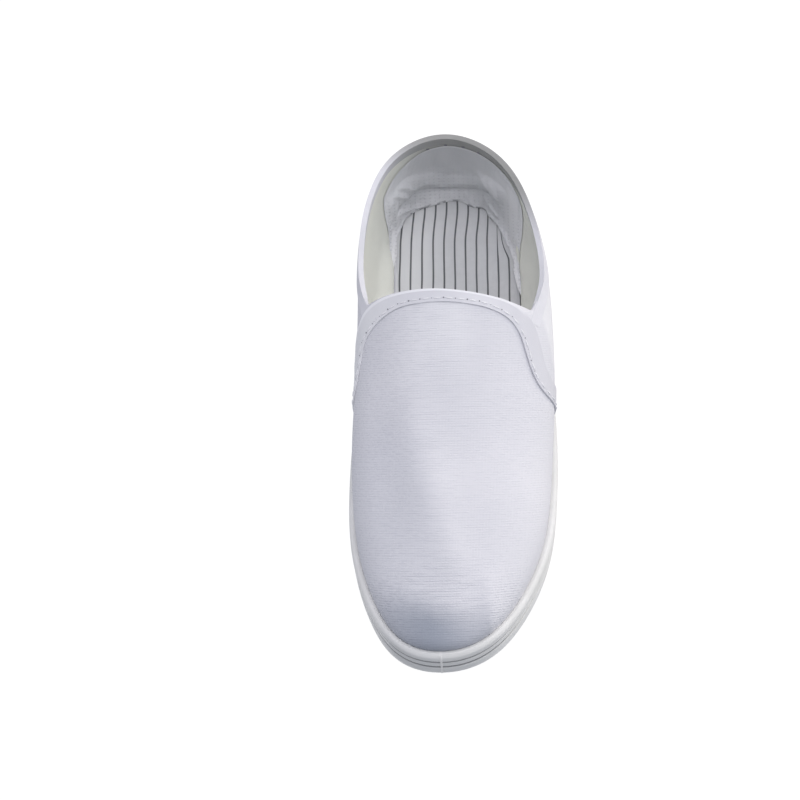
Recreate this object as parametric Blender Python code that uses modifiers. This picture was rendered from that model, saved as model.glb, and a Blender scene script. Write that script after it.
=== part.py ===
"""Anti-static canvas slip-on work shoe, left foot.

A moulded cup sole carries a canvas upper, an insole and two sewn strips. The toe points to -Y, the outer side
of the foot is +X, and the origin is under the middle of the shoe, on the floor.

Every piece is worked out from one fan of stations. Each station starts on the sole's outline and points at a
spine inside it, so a point is given by its station, its inset from the outline and its height.
"""
import math

import bmesh
import bpy
import numpy as np
from mathutils import Vector

MM = 0.001

# Driving dimensions
LENGTH = 250 * MM
GAP = 0.35 * MM
TOE_SPRING = 12 * MM
TOE_SPRING_LENGTH = 72 * MM
ARCH_RISE = 1.6 * MM
ARCH_FRONT = 116 * MM
ARCH_BACK = 192 * MM
CUP_DEPTH = 8.3 * MM
LIP_WIDTH = 3.0 * MM
LIP_FALL = 0.2 * MM
WALL = 1.6 * MM
INSOLE_THICKNESS = 3.0 * MM
THROAT = 154.5 * MM
THROAT_BOW = 1.0 * MM
MIDDLE_ACROSS = 0.03 * MM
MIDDLE_ALONG = 125.2 * MM

# The toe's wall leans in by this much at the lip. Sections run slantwise by this much at the middle of the
# length, further forward on the outer side.
TOE_LEAN = 1.8 * MM
SLANT = 3.5 * MM

# Round of the outline's ends, as half widths of the ellipses that they follow
TOE_ROUND = 66.9 * MM
HEEL_ROUND = 57.0 * MM

# Spine of the fan: how far it stops short of the toe and the heel, and the length over which it bends
SPINE_TOE = 33 * MM
SPINE_HEEL = 31 * MM
SPINE_BLEND = 110 * MM

# Sections of the last in millimetres. The share counts from the toe. The centre is the sole's middle line, and
# the ridge runs that much further to the outer side than the centre. Medial and lateral are how far the upper
# swells over the sole's edge. Behind the throat the ridge is only the height that the quarters lean to.
COLUMNS = ("share", "half_width", "centre", "lip", "ridge", "ridge_across", "medial", "lateral", "collar")
SECTIONS = (
    (0.00, 0.0, -5.7, 26.0, 34.0, 0.0, 1.0, 1.0, 60.0),
    (0.10, 32.6, -3.6, 21.6, 38.0, 0.0, 1.6, 1.6, 60.0),
    (0.22, 42.8, -1.8, 18.4, 44.8, 0.0, 2.6, 2.8, 60.0),
    (0.37, 45.6, -0.5, 16.9, 51.5, 0.0, 8.0, 5.5, 60.0),
    (0.55, 43.4, 0.5, 17.4, 63.5, 0.0, 12.5, 15.0, 58.0),
    (0.70, 37.4, 0.0, 18.9, 80.0, -6.0, 19.5, 27.0, 52.5),
    (0.84, 35.0, -1.1, 20.7, 100.0, 0.0, 16.0, 16.0, 57.0),
    (0.93, 28.0, -2.2, 21.5, 104.0, 0.0, 9.5, 8.0, 58.8),
    (1.00, 0.0, -3.0, 22.0, 108.0, 0.0, 3.5, 3.5, 59.2),
)

# A section of the upper is a Bezier curve. The swell acts at this share of its rise, and the crown starts at this
# share of its width.
SWELL_RISE = 0.56
CROWN_WIDTH = 0.62

# Side of the sole in millimetres, from the floor to the lip: what the height counts from, height, inset
SIDE_PROFILE = (
    ("floor", 0.0, 1.5),
    ("floor", 0.5, 0.4),
    ("floor", 1.8, 0.0),
    ("lip", -9.2, 0.0),
    ("lip", -8.7, 0.9),
    ("lip", -8.2, 0.9),
    ("lip", -7.7, 0.0),
    ("lip", -5.4, 0.0),
    ("lip", -4.9, 0.9),
    ("lip", -4.4, 0.9),
    ("lip", -3.9, -0.2),
    ("lip", -1.4, -0.1),
    ("lip", -0.4, 0.6),
    ("lip", 0.0, 1.5),
)

# Underside in millimetres, from the rim inwards: inset and depth of each step
UNDERSIDE_PROFILE = (
    (5.2, 0.0),
    (5.8, 2.2),
    (18.6, 2.2),
    (19.2, 0.0),
    (21.2, 0.0),
    (21.6, 1.2),
    (22.6, 1.2),
    (23.0, 0.0),
    (24.8, 0.0),
    (25.3, 1.8),
)

# Strip over the vamp's back edge, a row per cross line from the ridge down to the lip. Each row gives the back
# edge and then the front edge: distance from the toe in millimetres, and share of the section's curve from lip
# to ridge.
LATERAL_BAND = (
    (155.2, 1.00, 149.7, 1.00),
    (154.8, 0.80, 149.2, 0.80),
    (154.2, 0.66, 146.3, 0.68),
    (151.5, 0.57, 140.5, 0.62),
    (146.5, 0.505, 134.0, 0.585),
    (139.5, 0.465, 127.5, 0.54),
    (133.0, 0.42, 122.6, 0.47),
    (129.5, 0.34, 120.5, 0.37),
    (129.5, 0.20, 120.8, 0.22),
    (130.5, 0.03, 122.0, 0.03),
)
MEDIAL_BAND = (
    (155.2, 1.00, 149.7, 1.00),
    (154.5, 0.77, 148.6, 0.77),
    (153.8, 0.61, 146.3, 0.64),
    (151.8, 0.46, 143.0, 0.525),
    (146.5, 0.32, 138.0, 0.425),
    (138.5, 0.24, 130.0, 0.37),
    (131.5, 0.17, 122.5, 0.305),
    (127.0, 0.10, 118.0, 0.19),
    (125.0, 0.03, 115.5, 0.03),
)
BAND_THICKNESS = 0.9 * MM
BAND_GAP = 0.5 * MM
BAND_STEPS = 30

# Tape folded over the quarters' top edge. It starts at this share of the way to the first station behind the
# throat, and hangs along the wall between the edge and this share of the edge's rise.
TAPE_THICKNESS = 0.7 * MM
TAPE_DEPTH = 5.0 * MM
TAPE_GAP = 0.6 * MM
TAPE_START = 0.15
TAPE_HANG = 0.9

# Steps along and up the upper from which its normal is worked out, and halvings when a height is looked for
NORMAL_STEP = 1 * MM
NORMAL_RISE = 0.02
HALVINGS = 30

# Stations on each side, in front of the throat and behind it, and rows up the upper
VAMP_STATIONS = 22
QUARTER_STATIONS = 20
QUARTER_ROWS = 7
CROWN_ROWS = 5

MEDIAL = -1
LATERAL = 1


def smooth(xs, ys, at):
    """Read a smooth curve through the points at the given places."""
    slopes = np.gradient(ys, xs)
    cell = np.clip(np.searchsorted(xs, at, side="right") - 1, 0, len(xs) - 2)
    span = xs[cell + 1] - xs[cell]
    t = (at - xs[cell]) / span
    value = (1 + 2 * t) * (1 - t) ** 2 * ys[cell] + t * t * (3 - 2 * t) * ys[cell + 1]
    return value + span * (t * (1 - t) ** 2 * slopes[cell] - t * t * (1 - t) * slopes[cell + 1])


def column(name):
    """One column of the sections, as numbers in the table's own units."""
    return np.array([row[COLUMNS.index(name)] for row in SECTIONS])


def along_sections(name, along):
    """A section size in metres at a distance from the toe."""
    return float(smooth(column("share") * LENGTH, column(name) * MM, along))


def angle_at(along):
    """Angle that spaces the stations evenly around the outline's round ends."""
    return math.acos(1 - 2 * along / LENGTH)


def half_width(angle):
    """Half the sole's width, read as an ellipse whose own half width changes along the shoe."""
    angles = np.arccos(1 - 2 * column("share"))
    rounds = column("half_width") * MM
    rounds[1:-1] /= np.sin(angles[1:-1])
    rounds[0] = TOE_ROUND
    rounds[-1] = HEEL_ROUND
    return float(smooth(angles, rounds, angle)) * math.sin(angle)


def spine(along):
    """Place on the middle line that a station of the outline points at."""
    toe = max(0.0, 1 - along / SPINE_BLEND)
    heel = max(0.0, 1 - (LENGTH - along) / SPINE_BLEND)
    return along + SPINE_TOE * toe ** 2 - SPINE_HEEL * heel ** 2


def floor_height(along):
    """Underside of the sole: flat at ball and heel, raised at the toe and a little at the waist."""
    spring = TOE_SPRING * max(0.0, 1 - along / TOE_SPRING_LENGTH) ** 2
    waist = min(max((along - ARCH_FRONT) / (ARCH_BACK - ARCH_FRONT), 0.0), 1.0)
    return spring + ARCH_RISE * (0.5 - 0.5 * math.cos(2 * math.pi * waist))


def lip_height(along):
    """Top of the sole's lip."""
    return along_sections("lip", along)


def footbed_height(along):
    """Bottom of the cup that the upper and the insole stand in."""
    return lip_height(along) - CUP_DEPTH


class Station:
    """A line from the sole's outline towards the spine, on one side of the shoe."""

    def __init__(self, angle, side):
        self.side = side
        middle = LENGTH / 2 * (1 - math.cos(angle))
        self.aim = spine(middle)
        self.along = middle - side * SLANT * math.sin(angle) ** 2
        self.lean = TOE_LEAN * max(0.0, 1 - middle / TOE_SPRING_LENGTH) ** 2
        self.lip_inset = LIP_WIDTH + self.lean
        across = along_sections("centre", self.along) + side * half_width(angle_at(self.along))
        edge = Vector((across, self.along))
        self.foot = Vector((along_sections("centre", self.aim), self.aim))
        self.reach = (edge - self.foot).length
        self.outward = (edge - self.foot) / self.reach

    def flat(self, inset):
        """Point in plan at an inset from the outline: distance to the outer side, distance from the toe."""
        return self.foot + self.outward * (self.reach - inset)

    def point(self, inset, height):
        """Point in the part's frame at an inset and a height."""
        across, along = self.flat(inset)
        return Vector((across - MIDDLE_ACROSS, along - MIDDLE_ALONG, height))

    def on_upper(self, rise):
        """Point on the outside of the upper at a share of the curve from the lip to the ridge.

        Towards the toe the crown falls with the ridge's own slope, so that both run on smoothly.
        """
        swell = along_sections("medial" if self.side == MEDIAL else "lateral", self.along)
        base = self.reach - self.lip_inset
        low = lip_height(self.along)
        high = along_sections("ridge", self.aim)
        bend = low + SWELL_RISE * (high - low)
        crown = CROWN_WIDTH * (base + swell / 2)
        slope = (along_sections("ridge", self.aim + NORMAL_STEP) - high) / NORMAL_STEP
        shoulder = high + slope * min(self.outward.y, 0.0) * crown
        weights = ((1 - rise) ** 3, 3 * rise * (1 - rise) ** 2, 3 * rise ** 2 * (1 - rise), rise ** 3)
        width = sum(w * x for w, x in zip(weights, (base, base + swell, crown, 0.0)))
        height = sum(w * z for w, z in zip(weights, (low, bend, shoulder, high)))
        point = self.point(self.reach - width, height)
        point.x += along_sections("ridge_across", self.aim) * (weights[2] + weights[3])
        return point

    def collar_rise(self):
        """Share of the curve at which the quarters' top edge lies."""
        target = along_sections("collar", self.along)
        low, high = 0.0, 1.0
        for _ in range(HALVINGS):
            middle = (low + high) / 2
            if self.on_upper(middle).z < target:
                low = middle
            else:
                high = middle
        return low


def half_angles():
    """Angles of one side's stations from toe to heel, with one right at the throat."""
    throat = angle_at(THROAT)
    front = np.linspace(0, throat, VAMP_STATIONS + 1)
    back = np.linspace(throat, math.pi, QUARTER_STATIONS + 1)
    return [float(angle) for angle in (*front, *back[1:])]


def all_stations():
    """Stations right round the shoe: from the toe along the outer side to the heel, and back along the inner."""
    angles = half_angles()
    outer = [Station(angle, LATERAL) for angle in angles]
    inner = [Station(angle, MEDIAL) for angle in reversed(angles[1:-1])]
    return outer + inner


def material(name, colour, roughness):
    """Plain surface for one slot."""
    shade = bpy.data.materials.new(name)
    shade.use_nodes = True
    shader = shade.node_tree.nodes["Principled BSDF"]
    shader.inputs["Base Color"].default_value = (*colour, 1.0)
    shader.inputs["Roughness"].default_value = roughness
    shader.inputs["Metallic"].default_value = 0.0
    return shade


def add_piece(name, mesh_data, shade, collection, sharp_degrees):
    """Turn a bmesh into a named object with its material."""
    bmesh.ops.recalc_face_normals(mesh_data, faces=mesh_data.faces)
    mesh = bpy.data.meshes.new(name)
    mesh_data.to_mesh(mesh)
    mesh_data.free()
    mesh.materials.append(shade)
    mesh.shade_smooth()
    mesh.set_sharp_from_angle(angle=math.radians(sharp_degrees))
    piece = bpy.data.objects.new(name, mesh)
    collection.objects.link(piece)
    return piece


def skin(mesh_data, lines, closed):
    """Quads between neighbouring lines of vertices. Closed lines run right round."""
    for line, following in zip(lines, lines[1:]):
        count = len(line)
        for i in range(count if closed else count - 1):
            j = (i + 1) % count
            mesh_data.faces.new((line[i], line[j], following[j], following[i]))


def cover(mesh_data, ring):
    """Close a ring of stations with faces from side to side."""
    half = len(ring) // 2
    for i in range(half):
        corners = (ring[i], ring[i + 1], ring[-i - 1], ring[-i])
        mesh_data.faces.new(tuple(dict.fromkeys(corners)))


def outsole(collection):
    """Cup sole: grooved side, round lip, footbed inside, and rim, ring and island underneath."""
    stations = all_stations()
    mesh_data = bmesh.new()

    def under(station, inset, depth):
        return station.point(inset, floor_height(station.flat(inset).y) + depth)

    def side(station, origin, height, inset):
        low = floor_height(station.along)
        high = lip_height(station.along)
        level = height + (low if origin == "floor" else high)
        return station.point(inset + station.lean * (level - low) / (high - low), level)

    def inside(station, base_at, height):
        inset = station.lip_inset - GAP
        return station.point(inset, base_at(station.flat(inset).y) + height)

    lines = []
    for inset, depth in reversed(UNDERSIDE_PROFILE):
        lines.append([under(s, inset * MM, depth * MM) for s in stations])
    for origin, height, inset in SIDE_PROFILE:
        lines.append([side(s, origin, height * MM, inset * MM) for s in stations])
    lines.append([inside(s, lip_height, -LIP_FALL) for s in stations])
    lines.append([inside(s, footbed_height, 0.0) for s in stations])
    rings = [[mesh_data.verts.new(p) for p in line] for line in lines]
    skin(mesh_data, rings, closed=True)
    cover(mesh_data, rings[0])
    cover(mesh_data, rings[-1])
    rubber = material("sole_cream", (0.78, 0.75, 0.69), 0.45)
    return add_piece("outsole", mesh_data, rubber, collection, sharp_degrees=35)


def upper(collection):
    """Canvas wall from the footbed to the collar, closed over the vamp as far as the throat."""
    stations = all_stations()
    count = len(stations)
    mesh_data = bmesh.new()

    # The vamp keeps the rise that the collar has at the throat's corner on its side
    corners = {LATERAL: stations[VAMP_STATIONS], MEDIAL: stations[-VAMP_STATIONS]}
    tops = []
    for i, station in enumerate(stations):
        is_vamp = min(i, count - i) <= VAMP_STATIONS
        tops.append((corners[station.side] if is_vamp else station).collar_rise())
    hem = [s.point(s.lip_inset, footbed_height(s.flat(s.lip_inset).y) + GAP) for s in stations]
    rings = [[mesh_data.verts.new(p) for p in hem]]
    for row in range(QUARTER_ROWS + 1):
        share = row / QUARTER_ROWS
        rings.append([mesh_data.verts.new(s.on_upper(top * share)) for s, top in zip(stations, tops)])
    skin(mesh_data, rings, closed=True)

    def over_vamp(i, share):
        station = stations[i]
        if abs(i) == VAMP_STATIONS:
            station = Station(angle_at(THROAT + THROAT_BOW * share), station.side)
        return station.on_upper(tops[i] + (1 - tops[i]) * share)

    # Over the vamp the two sides go on to the ridge, where they share their vertices. The throat bows back there.
    vamp = range(-VAMP_STATIONS, VAMP_STATIONS + 1)
    ridge = [mesh_data.verts.new(over_vamp(i, 1.0)) for i in range(VAMP_STATIONS + 1)]
    lines = [[rings[-1][i] for i in vamp]]
    for row in range(1, CROWN_ROWS):
        lines.append([mesh_data.verts.new(over_vamp(i, row / CROWN_ROWS)) for i in vamp])
    lines.append([ridge[abs(i)] for i in vamp])
    skin(mesh_data, lines, closed=False)

    canvas = material("canvas_white", (0.80, 0.80, 0.84), 0.85)
    piece = add_piece("upper", mesh_data, canvas, collection, sharp_degrees=60)
    wall = piece.modifiers.new("wall", "SOLIDIFY")
    wall.thickness = WALL
    wall.offset = -1
    wall.use_even_offset = True
    return piece


def insole(collection):
    """Inlay on the footbed, inside the upper's hem."""
    mesh_data = bmesh.new()
    rings = [[], []]
    for station in all_stations():
        inset = station.lip_inset + WALL + GAP
        bed = footbed_height(station.flat(inset).y)
        for ring, lift in zip(rings, (GAP, GAP + INSOLE_THICKNESS)):
            ring.append(mesh_data.verts.new(station.point(inset, bed + lift)))
    skin(mesh_data, rings, closed=True)
    cover(mesh_data, rings[0])
    cover(mesh_data, rings[1])
    cloth = material("insole_grey", (0.66, 0.67, 0.70), 0.9)
    return add_piece("insole", mesh_data, cloth, collection, sharp_degrees=35)


def above_upper(along, side, rise, lift):
    """Point a little outside the upper, along its own normal. On the ridge the normal doesn't lean sideways."""
    station = Station(angle_at(along), side)
    here = station.on_upper(rise)
    forward = Station(angle_at(along - NORMAL_STEP), side).on_upper(rise) - here
    upward = here - station.on_upper(rise - NORMAL_RISE)
    normal = forward.cross(upward) * -side
    if rise == 1.0:
        normal.x = 0.0
    return here + normal.normalized() * lift


def vamp_band(collection):
    """Strip over the vamp's back edge, from the lip up one side, along the throat and down the other."""
    mesh_data = bmesh.new()
    loops = []

    def cross_lines(table):
        numbers = np.arange(len(table), dtype=float)
        places = np.linspace(0, len(table) - 1, BAND_STEPS + 1)
        columns = [smooth(numbers, np.array(values), places) for values in zip(*table)]
        return list(zip(*columns))

    route = [(LATERAL, line) for line in reversed(cross_lines(LATERAL_BAND))]
    route += [(MEDIAL, line) for line in cross_lines(MEDIAL_BAND)[1:]]
    for side, (back, back_rise, front, front_rise) in route:
        middle = ((back + front) / 2, (back_rise + front_rise) / 2)
        across = ((back, back_rise), middle, (front, front_rise))
        top = BAND_GAP + BAND_THICKNESS
        under = [above_upper(along * MM, side, rise, BAND_GAP) for along, rise in across]
        over = [above_upper(along * MM, side, rise, top) for along, rise in reversed(across)]
        loops.append([mesh_data.verts.new(p) for p in under + over])
    skin(mesh_data, loops, closed=True)
    mesh_data.faces.new(loops[0])
    mesh_data.faces.new(reversed(loops[-1]))
    tape = material("band_white", (0.84, 0.84, 0.87), 0.7)
    return add_piece("vamp_band", mesh_data, tape, collection, sharp_degrees=50)


def tape_outline(station):
    """Section of the folded tape over the top edge at one station."""
    rise = station.collar_rise()
    top = station.on_upper(rise)
    down = (station.on_upper(rise * TAPE_HANG) - top).normalized()
    outward = Vector((*station.outward, 0.0))
    outward = (outward - down * outward.dot(down)).normalized()
    inside = WALL + TAPE_GAP
    over = TAPE_GAP + TAPE_THICKNESS
    profile = (
        (TAPE_GAP, TAPE_DEPTH),
        (TAPE_GAP, -TAPE_GAP),
        (-inside, -TAPE_GAP),
        (-inside, TAPE_DEPTH),
        (-inside - TAPE_THICKNESS, TAPE_DEPTH),
        (-inside - TAPE_THICKNESS, -over),
        (over, -over),
        (over, TAPE_DEPTH),
    )
    return [top + outward * x + down * z for x, z in profile]


def collar_binding(collection):
    """Tape folded over the quarters' top edge, from one end of the throat round the heel to the other."""
    stations = all_stations()
    outlines = [tape_outline(s) for s in stations[VAMP_STATIONS:len(stations) - VAMP_STATIONS + 1]]
    for end, neighbour in ((0, 1), (-1, -2)):
        outlines[end] = [p.lerp(q, TAPE_START) for p, q in zip(outlines[end], outlines[neighbour])]
    mesh_data = bmesh.new()
    loops = [[mesh_data.verts.new(p) for p in outline] for outline in outlines]
    skin(mesh_data, loops, closed=True)
    mesh_data.faces.new(loops[0])
    mesh_data.faces.new(reversed(loops[-1]))
    tape = material("binding_white", (0.84, 0.84, 0.87), 0.7)
    return add_piece("collar_binding", mesh_data, tape, collection, sharp_degrees=50)


for old in list(bpy.data.objects):
    bpy.data.objects.remove(old)

shoe = bpy.data.collections.new("work_shoe")
bpy.context.scene.collection.children.link(shoe)
outsole(shoe)
upper(shoe)
insole(shoe)
vamp_band(shoe)
collar_binding(shoe)
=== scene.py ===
import math

import bmesh
import bpy
from mathutils import Matrix, Vector
from mathutils.bvhtree import BVHTree


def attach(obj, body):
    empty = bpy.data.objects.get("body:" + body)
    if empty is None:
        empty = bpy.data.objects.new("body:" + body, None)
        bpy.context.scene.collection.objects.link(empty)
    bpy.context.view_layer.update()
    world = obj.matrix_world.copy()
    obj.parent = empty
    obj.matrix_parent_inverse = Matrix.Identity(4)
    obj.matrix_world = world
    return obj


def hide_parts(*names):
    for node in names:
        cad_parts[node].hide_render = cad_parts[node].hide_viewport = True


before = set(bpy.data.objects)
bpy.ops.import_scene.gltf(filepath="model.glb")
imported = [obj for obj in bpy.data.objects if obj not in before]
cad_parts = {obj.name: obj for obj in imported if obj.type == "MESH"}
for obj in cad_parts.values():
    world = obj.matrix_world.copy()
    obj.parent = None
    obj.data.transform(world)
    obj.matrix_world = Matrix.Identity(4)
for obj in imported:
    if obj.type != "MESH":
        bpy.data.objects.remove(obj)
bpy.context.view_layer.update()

# Outsole
# A cup of foamed cream rubber, moulded in one shot round the foot of the upper, with a satin skin.
# Two grooves run round its side, and underneath a flat rim, a ring and an island stand in steps.
MM = 0.001
MERGE_REACH = 0.002 * MM
QUAD_TURN = math.radians(25)
HELD_EDGE = 0.8
CUP_EDGE = math.radians(28)
GROOVE_TURN = math.radians(20)
FLAT_FACE = 0.95
LIP_REACH = 0.6 * MM
LIP_LOW = 16 * MM
# Share of its gap that the lip moves. It ends up a little way in the canvas, with no dark line between them.
LIP_PRESS = 1.3
SEAM_TOE = -5.8 * MM
CREAM = ((0.745, 0.745, 0.72), (0.795, 0.795, 0.775))
CREAM_PATCH = 14 * MM
GRAIN = 0.5 * MM
GRAIN_DEPTH = 0.05 * MM
# A range of a tone goes from where there is none of it to where it is full
FOOT_HEIGHT = (1.2 * MM, 0.0)
FOOT_CREAM = (0.66, 0.65, 0.61)
# Scuffs and painted shade on the toe's front wall, a darker grey that fades out towards the outer side
SCUFF_SHADE_ALONG = (-104 * MM, -118 * MM)
SCUFF_SHADE_ACROSS = (26 * MM, 2 * MM)
SCUFF_SHADE_HEIGHT = (11 * MM, 14 * MM)
SCUFF_SHADE_OFF_SEAM = (0.4 * MM, 0.8 * MM)
SCUFF_SHADE_LEAST = 0.4
SCUFFED_SHADED_CREAM = (0.60, 0.61, 0.60)
# The lip's top, which faces the light, is kept paler
LIT_LIP = (22 * MM, 24.5 * MM)
LIT_LIP_SHARE = 0.6
# Grime and painted shade in the grooves: pale beige, dark grey at the toe and underneath
DARK_GROOVE_ALONG = (-88 * MM, -110 * MM)
DARK_GROOVE_ACROSS = (34 * MM, 12 * MM)
DARK_GROOVE_HEIGHT = (7 * MM, 4 * MM)
GRIME_SHADE_EDGE = (0.0, 0.5)
GROOVE_PALE = (0.62, 0.605, 0.55)
GROOVE_DARK = (0.25, 0.255, 0.26)


def solid_copy(node):
    """Copy of a solid, with its loose triangles merged and joined into quads."""
    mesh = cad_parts[node].data.copy()
    for layer in ("custom_normal", "sharp_edge", "sharp_face"):
        if layer in mesh.attributes:
            mesh.attributes.remove(mesh.attributes[layer])
    shape = bmesh.new()
    shape.from_mesh(mesh)
    bpy.data.meshes.remove(mesh)
    bmesh.ops.remove_doubles(shape, verts=shape.verts, dist=MERGE_REACH)
    bmesh.ops.join_triangles(
        shape,
        faces=shape.faces,
        angle_face_threshold=QUAD_TURN,
        angle_shape_threshold=math.pi,
    )
    return shape


def hold_edges(shape, turn):
    """Keep a shape's edges crisp when it is rounded off, where its faces turn by more than an angle."""
    crease = shape.edges.layers.float.new("crease_edge")
    for edge in shape.edges:
        if edge.is_manifold and edge.calc_face_angle() > turn:
            edge[crease] = HELD_EDGE


def add_piece(name, shape, finish):
    """Make a shape a piece of the shoe, with its finish, hung under the root."""
    mesh = bpy.data.meshes.new(name)
    shape.to_mesh(mesh)
    shape.free()
    mesh.shade_smooth()
    mesh.materials.append(finish)
    piece = bpy.data.objects.new(name, mesh)
    bpy.context.scene.collection.objects.link(piece)
    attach(piece, "root")
    return piece


def round_off(piece, levels):
    """Let a piece follow the smooth surface of its mesh."""
    rounding = piece.modifiers.new("round_off", "SUBSURF")
    rounding.levels = levels
    rounding.render_levels = levels


class Field:
    """A socket of a finish, so that sums of sockets and numbers read as plain Python."""

    def __init__(self, tree, socket=None):
        self.tree = tree
        self.socket = socket

    def node(self, kind, settings=None, sockets=None, output=0):
        """Add a node from its type, its settings and the values or links of its sockets."""
        made = self.tree.nodes.new("ShaderNode" + kind)
        for name, value in (settings or {}).items():
            setattr(made, name, value)
        for name, value in (sockets or {}).items():
            if isinstance(value, Field):
                self.tree.links.new(value.socket, made.inputs[name])
            else:
                made.inputs[name].default_value = value
        return Field(self.tree, made.outputs[output] if made.outputs else None)

    def maths(self, operation, first, second=0.0):
        return self.node("Math", {"operation": operation}, {0: first, 1: second})

    def __add__(self, other):
        return self.maths("ADD", self, other)

    __radd__ = __add__

    def __sub__(self, other):
        return self.maths("SUBTRACT", self, other)

    def __rsub__(self, other):
        return self.maths("SUBTRACT", other, self)

    def __mul__(self, other):
        return self.maths("MULTIPLY", self, other)

    __rmul__ = __mul__

    def part(self, axis):
        """One coordinate of a place, in metres."""
        return self.node("SeparateXYZ", {}, {"Vector": self}, axis)

    def axes(self):
        """The three coordinates of a place, in metres."""
        return [self.part(axis) for axis in "XYZ"]

    def painted(self, name):
        """Value that the mesh carries at its vertices under a name."""
        return self.node("Attribute", {"attribute_name": name}, {}, "Fac")

    def noise(self, size, detail=2.0):
        """Cloudy field from 0 to 1 with patches of about the given size."""
        return self.node("TexNoise", {}, {"Vector": self, "Scale": 1 / size, "Detail": detail}, "Fac")

    def step(self, low, high):
        """0 below low, 1 above high and smooth between them."""
        settings = {"interpolation_type": "SMOOTHSTEP"}
        return self.node("MapRange", settings, {"Value": self, "From Min": low, "From Max": high})

    def clear(self):
        """A cloudy field with the edges of its patches made clearer."""
        return self.step(0.3, 0.7)

    def away(self, middle=0.0):
        """Distance from a value to either side."""
        return self.maths("ABSOLUTE", self - middle)

    def ribs(self, pitch):
        """Wave from 0 to 1 across a coordinate, one crest for each pitch."""
        return self.maths("SINE", self * (2 * math.pi / pitch)) * 0.5 + 0.5

    def blend(self, first, second):
        """Colour that goes from the first at 0 to the second at 1."""
        colours = [colour if isinstance(colour, Field) else (*colour, 1) for colour in (first, second)]
        return self.node("Mix", {"data_type": "RGBA"}, {0: self, 6: colours[0], 7: colours[1]}, 2)


def new_finish(name):
    """An empty finish, and the place on the surface that its patterns are laid out by."""
    finish = bpy.data.materials.new(name)
    finish.use_nodes = True
    finish.node_tree.nodes.clear()
    place = Field(finish.node_tree).node("TexCoord", {}, {}, "Object")
    return finish, place


def close_finish(place, height, depth, sockets):
    """Give a finish its relief of that depth and the values of its shader."""
    relief = place.node("Bump", {}, {"Distance": depth, "Height": height})
    shader = place.node("BsdfPrincipled", {}, {**sockets, "Normal": relief})
    place.node("OutputMaterial", {}, {"Surface": shader})


rubber, place = new_finish("cream_rubber")
x, y, z = place.axes()
cloud = place.noise(CREAM_PATCH, 3.0)
grain = place.noise(GRAIN)
cream = cloud.clear().blend(*CREAM)
cream = z.step(*FOOT_HEIGHT).blend(cream, FOOT_CREAM)
# Scuffs and painted shade on the toe's wall, kept off the lip's top
scuff_and_shade = y.step(*SCUFF_SHADE_ALONG) * x.step(*SCUFF_SHADE_ACROSS) * z.step(*SCUFF_SHADE_HEIGHT) * (SCUFF_SHADE_LEAST + cloud)
scuff_and_shade = scuff_and_shade * x.away(SEAM_TOE).step(*SCUFF_SHADE_OFF_SEAM) * (1 - z.step(*LIT_LIP) * LIT_LIP_SHARE)
cream = scuff_and_shade.blend(cream, SCUFFED_SHADED_CREAM)
groove_darkness = y.step(*DARK_GROOVE_ALONG) * x.step(*DARK_GROOVE_ACROSS) + z.step(*DARK_GROOVE_HEIGHT)
in_groove = groove_darkness.blend(GROOVE_PALE, GROOVE_DARK)
close_finish(place, grain, GRAIN_DEPTH, {
    "Base Color": place.painted("grime_and_shade").step(*GRIME_SHADE_EDGE).blend(cream, in_groove),
    "Roughness": 0.42 + grain * 0.12,
    "Specular IOR Level": 0.4,
})

upper_wall = BVHTree.FromBMesh(solid_copy("upper"))
cup = solid_copy("outsole")
hold_edges(cup, CUP_EDGE)
# The side's grooves are marked for their grime and painted shade
grime_and_shade = cup.verts.layers.float.new("grime_and_shade")
for edge in cup.edges:
    on_side = all(abs(face.normal.z) < FLAT_FACE for face in edge.link_faces)
    if edge.is_manifold and on_side and edge.calc_face_angle_signed() < -GROOVE_TURN:
        for vert in edge.verts:
            vert[grime_and_shade] = 1.0
for vert in cup.verts:
    gap = upper_wall.find_nearest(vert.co)[0] - vert.co
    if gap.length < LIP_REACH and vert.co.z > LIP_LOW:
        vert.co += gap * LIP_PRESS
outsole = add_piece("outsole_moulded", cup, rubber)
round_off(outsole, 2)
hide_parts("outsole")

# Fine tread
# The same rubber, moulded with the sole: thin bars across the ring between rim and island, and close wavy
# ribs over the whole island, with grime and painted shade in their grooves.
TOE_END = -125.2 * MM
TOE_SPRING = 12 * MM
TOE_SPRING_LENGTH = 72 * MM
ARCH_RISE = 1.6 * MM
ARCH_FRONT = -9.2 * MM
ARCH_LENGTH = 76 * MM
FACING_DOWN = -0.9
RING_DEPTH = (2.05 * MM, 2.5 * MM)
ISLAND_DEPTH = (1.55 * MM, 1.95 * MM)
EASED_EDGE = math.radians(50)
BAR_FIRST = -97 * MM
BAR_COUNT = 26
BAR_PITCH = 7.5 * MM
BAR_WIDTH = 1.1 * MM
BAR_HEIGHT = 1.3 * MM
BAR_EDGE = 0.3 * MM
WAVE_PITCH = 4.9 * MM
WAVE_LENGTH = 12 * MM
WAVE_SWING = 1.2 * MM
WAVE_FOOT = 0.1 * MM
WAVE_HEIGHT = 1.3 * MM
# Share of the pitch that a rib takes to rise
WAVE_WALL = 0.22
WAVE_CELL = 0.8 * MM
WAVE_MARGIN = 1.5 * MM
# Grime and painted shade in the wave grooves, fading up their walls
WAVE_GRIME_AND_SHADE = 0.36
WAVE_GRIME_AND_SHADE_FADE = 1.4
ACROSS = Vector((1, 0, 0))
ALONG = Vector((0, 1, 0))
UP = Vector((0, 0, 1))


def ramp(value, low, high):
    """0 at low, 1 at high and smooth between them."""
    share = min(max((value - low) / (high - low), 0.0), 1.0)
    return share * share * (3 - 2 * share)


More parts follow.
